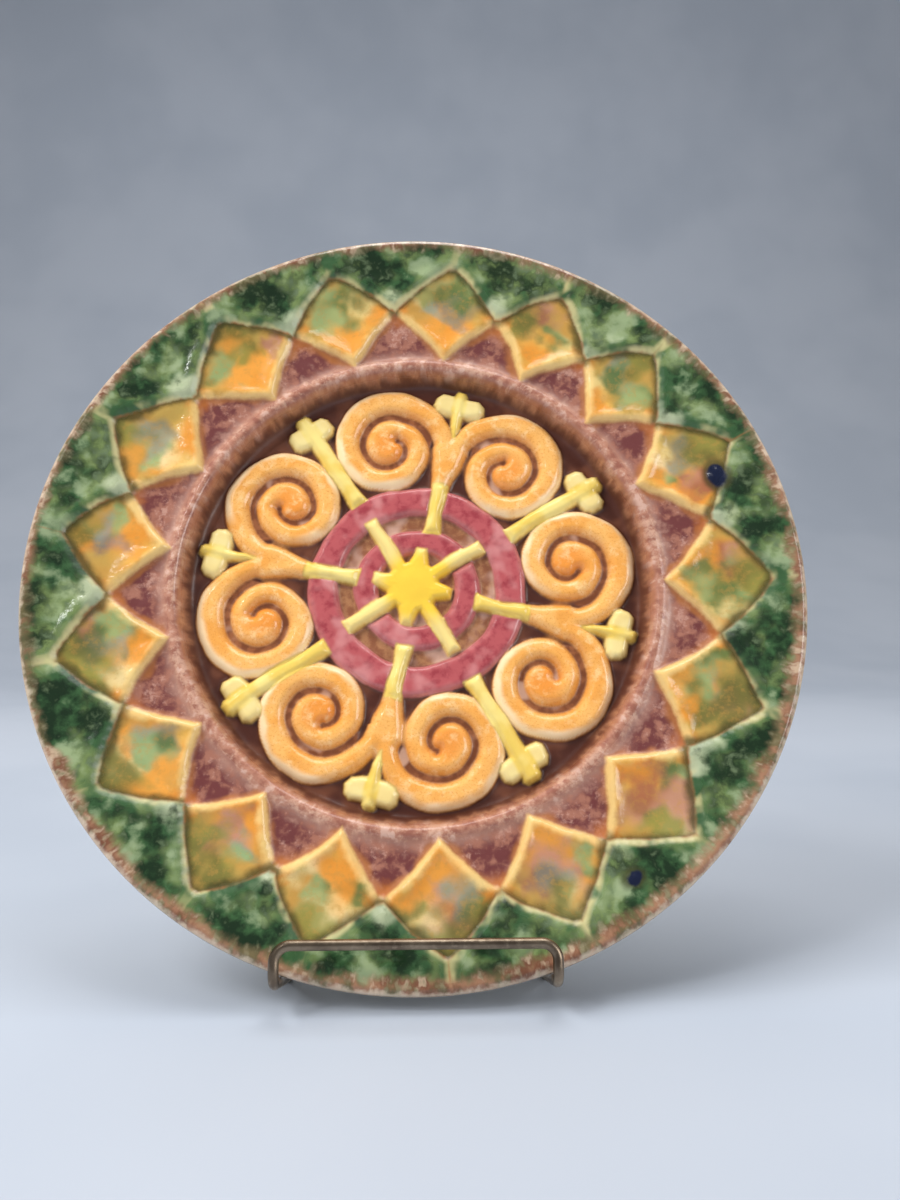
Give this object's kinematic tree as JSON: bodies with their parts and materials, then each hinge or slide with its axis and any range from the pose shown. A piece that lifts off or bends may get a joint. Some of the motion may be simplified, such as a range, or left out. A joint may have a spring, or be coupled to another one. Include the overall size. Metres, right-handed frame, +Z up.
{
  "type": "decorative relief plate on wire stand",
  "caption": "Round moulded plate of glazed earthenware with a lozenge border and raised scrolls round a star, leaning on a bent wire plate stand.",
  "frame": {"origin": "on the table under the middle of the whole object's box", "axes": "+Z up, -Y out of the plate's front, +X to the right of someone facing the plate"},
  "size_m": [0.28, 0.162, 0.2705],
  "materials": {
    "glaze": "glossy coloured glazes: orange, yellow, raspberry, aubergine and green",
    "wire": "satin, darkened"
  },
  "bodies": {
    "root": {"plate": "glaze", "stand": "wire"}
  },
  "joints": []
}
